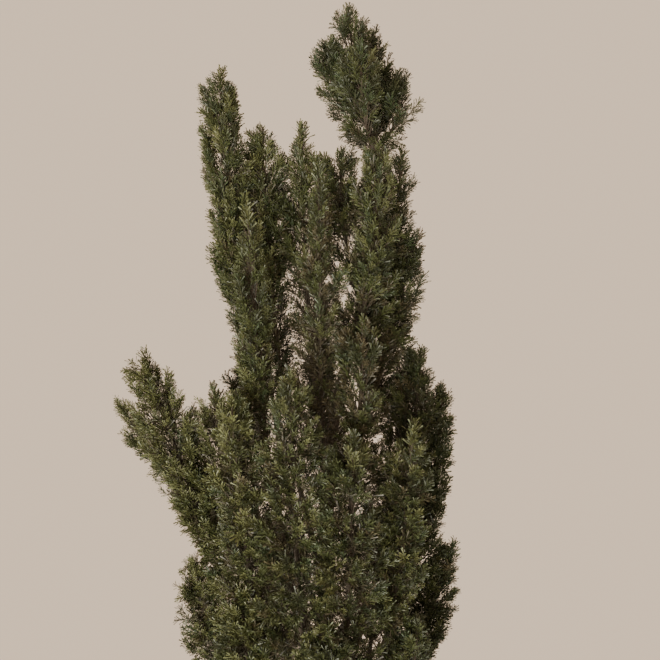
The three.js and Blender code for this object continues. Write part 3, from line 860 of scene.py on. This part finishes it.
def bark_tube(centres, radii, frames, heights, sides, relief, seed, spread=None):
    """A limb's surface as rings of points round its axis, raised by the bark's relief, with closed ends."""
    side, across = frames
    angle = 2 * math.pi * np.arange(sides) / sides
    turn = np.broadcast_to(angle / (2 * math.pi), (len(centres), sides))
    raised = relief[:, None] * bark_relief(turn, np.broadcast_to(heights[:, None], turn.shape), seed)
    radius = radii[:, None] + raised
    if spread is not None:
        radius = radius + spread(heights[:, None], angle[None, :])
    spoke = around_axis(angle, side[:, None, :], across[:, None, :])
    points = (centres[:, None, :] + radius[..., None] * spoke).reshape(-1, 3)
    points = np.vstack([points, centres[0], centres[-1]])
    rings = len(centres)
    r, s = np.meshgrid(np.arange(rings - 1), np.arange(sides), indexing="ij")
    a = (r * sides + s).ravel()
    b = (r * sides + (s + 1) % sides).ravel()
    faces = [np.stack([a, b, b + sides], 1), np.stack([a, b + sides, a + sides], 1)]
    s = np.arange(sides)
    after = (s + 1) % sides
    foot, tip = rings * sides, rings * sides + 1
    last = (rings - 1) * sides
    faces.append(np.stack([after, s, np.full(sides, foot)], 1))
    faces.append(np.stack([last + s, last + after, np.full(sides, tip)], 1))
    return points, np.vstack(faces)


def trunk_flare(height, angle):
    """How far the root flare stands out from the trunk."""
    turned = angle + math.pi / 2
    lobe = 1 + FLARE_LOBE_DEPTH * np.cos(FLARE_LOBES * turned + FLARE_LOBE_TURN)
    return FLARE_SPREAD * lobe * np.exp(-((height / FLARE_HEIGHT) ** FLARE_FADE))


def trunk_bark():
    """The trunk's bark, level at its flat cut."""
    heights = TRUNK_TOP * np.linspace(0, 1, TRUNK_RINGS) ** TRUNK_CROWDING
    frames = (np.tile([1.0, 0, 0], (TRUNK_RINGS, 1)), np.tile([0, 1.0, 0], (TRUNK_RINGS, 1)))
    centres, radii = trunk_axis(heights), trunk_radius(heights)
    relief = TRUNK_RELIEF * radii + TRUNK_RELIEF_LEAST
    return bark_tube(centres, radii, frames, heights, TRUNK_SIDES, relief, TRUNK_SEED, trunk_flare)


def limb_bark(limb, start, end, rings, sides, seed):
    """The bark of a limb between two parameters of its curve."""
    t = np.linspace(start, end, rings)
    frames = limb.frame(t)[1:]
    radii = limb.radius(t)
    return bark_tube(limb.at(t), radii, frames, t * limb.length, sides, LIMB_RELIEF * radii, seed)


def bark_material():
    """Grey-brown bark: long fibres with darker furrows, paler ridges and a slight bump."""
    material, shader = material_of("bark", {"Roughness": BARK_ROUGHNESS, "Specular IOR Level": BARK_SPECULAR})
    nodes, links = material.node_tree.nodes, material.node_tree.links

    def new(kind, **values):
        node = nodes.new("ShaderNode" + kind)
        set_values(node, values)
        return node

    place = new("TexCoord")
    stretch = new("Mapping", Scale=(260, 260, 22))
    fibres = new("TexNoise", Scale=1, Detail=6, Roughness=0.62)
    patches = new("TexNoise", Scale=28, Detail=3)
    ramp = new("ValToRGB")
    for stop, position, colour in zip(ramp.color_ramp.elements, (0.32, 0.68), (BARK_FURROW, BARK_RIDGE)):
        stop.position, stop.color = position, colour
    grey = new("Mix")
    grey.data_type = "RGBA"
    set_values(grey, {"B": BARK_GREY})
    bump = new("Bump", Strength=0.5, Distance=0.0012)
    for source, output, target, socket in (
        (place, "Object", stretch, "Vector"),
        (stretch, "Vector", fibres, "Vector"),
        (place, "Object", patches, "Vector"),
        (fibres, "Fac", ramp, "Fac"),
        (patches, "Fac", grey, "Factor"),
        (ramp, "Color", grey, "A"),
        (grey, "Result", shader, "Base Color"),
        (fibres, "Fac", bump, "Height"),
        (bump, "Normal", shader, "Normal"),
    ):
        links.new(source.outputs[output], target.inputs[socket])
    return material


def dress(piece, nodes):
    """Ties a piece to the part: it rides on the root and stands for the nodes."""
    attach(piece, "root")
    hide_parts(*nodes)


def build_bark():
    """The bark of the trunk and of the boughs."""
    bark = bark_material()
    points, faces = trunk_bark()
    dress(mesh_object("trunk_bark", points, faces, [bark], smooth=True), ["trunk"])
    boughs = [limb for limb in LIMBS if limb.row["bough"]]
    parts = [
        limb_bark(limb, 0.0, limb.bare, BOUGH_RINGS, BOUGH_SIDES, BOUGH_SEED + i)
        for i, limb in enumerate(boughs)
    ]
    points, faces = joined(parts)
    names = ["bough_" + limb.name for limb in boughs]
    dress(mesh_object("bough_bark", points, faces, [bark], smooth=True), names)


def add_sprays(number, plumes, materials):
    """One piece of sprays: whole plumes joined, each given as its name, points, faces and colour numbers."""
    names, points, faces, colours = zip(*plumes)
    points, faces = joined(zip(points, faces))
    piece = mesh_object(f"sprays_{number}", points, faces, materials, np.concatenate(colours))
    dress(piece, ["foliage_" + name for name in names])


def build_foliage():
    """The stems and side branches as one piece, and the sprays as several, each of whole plumes."""
    growths = [Growth(limb, GROWTH_SEED + i) for i, limb in enumerate(LIMBS)]
    stems = [
        limb_bark(limb, limb.bare, STEM_REACH, STEM_RINGS, STEM_SIDES, STEM_SEED + i)
        for i, limb in enumerate(LIMBS)
    ]
    branches = [tubes(growth.branches, BRANCH_RADIUS, BRANCH_RINGS, BRANCH_SIDES) for growth in growths]
    points, faces = joined(stems + branches)
    twig = plain("twig", TWIG_COLOUR, TWIG_ROUGHNESS)
    masses = ["foliage_" + limb.name for limb in LIMBS]
    dress(mesh_object("twigs", points, faces, [twig]), masses)
    materials = [plain(name, colour) for name, colour in COLOURS.items()]
    plumes, total, number = [], 0, 1
    for growth in growths:
        *green, green_colours = placed_sprays(growth.green, growth.limb.row["tone"])
        *inner, inner_colours = placed_sprays(growth.inner, "inner")
        points, faces = joined([green, inner])
        if plumes and total + len(faces) > PIECE_TRIANGLES:
            add_sprays(number, plumes, materials)
            plumes, total, number = [], 0, number + 1
        plumes.append((growth.limb.name, points, faces, np.concatenate([green_colours, inner_colours])))
        total += len(faces)
    add_sprays(number, plumes, materials)


def area_light(name, place, size, power, colour):
    """A soft square light that faces the crown."""
    light = bpy.data.lights.new(name, "AREA")
    light.size = size
    light.energy = power
    light.color = colour
    lamp = bpy.data.objects.new(name, light)
    lamp.location = place
    lamp.rotation_mode = "QUATERNION"
    lamp.rotation_quaternion = Vector(np.subtract(LIGHTS_AIM, place)).to_track_quat("-Z", "Y")
    bpy.context.scene.collection.objects.link(lamp)


def build_stage():
    """A pale floor and background, soft lights, and the camera at the photograph's place."""
    pale = plain("pale_floor", FLOOR_COLOUR, FLOOR_ROUGHNESS)
    turn = 2 * math.pi * np.arange(FLOOR_SIDES) / FLOOR_SIDES
    rim = FLOOR_RADIUS * np.stack([np.cos(turn), np.sin(turn), np.zeros(FLOOR_SIDES)], axis=1)
    mesh_object("floor", rim, [tuple(range(FLOOR_SIDES))], [pale])
    world = bpy.data.worlds.new("studio")
    world.use_nodes = True
    set_values(world.node_tree.nodes["Background"], {"Color": WORLD_COLOUR, "Strength": WORLD_STRENGTH})
    bpy.context.scene.world = world
    area_light("key", **KEY_LIGHT)
    area_light("front", **FRONT_LIGHT)
    camera = bpy.data.cameras.new("camera")
    camera.sensor_width = CAMERA_SENSOR
    camera.lens = CAMERA_LENS
    camera.clip_start = CAMERA_NEAR
    viewer = bpy.data.objects.new("camera", camera)
    viewer.location = CAMERA_PLACE
    viewer.rotation_euler = (math.radians(90 - CAMERA_PITCH), 0, 0)
    bpy.context.scene.collection.objects.link(viewer)
    bpy.context.scene.camera = viewer


build_stage()
build_bark()
build_foliage()
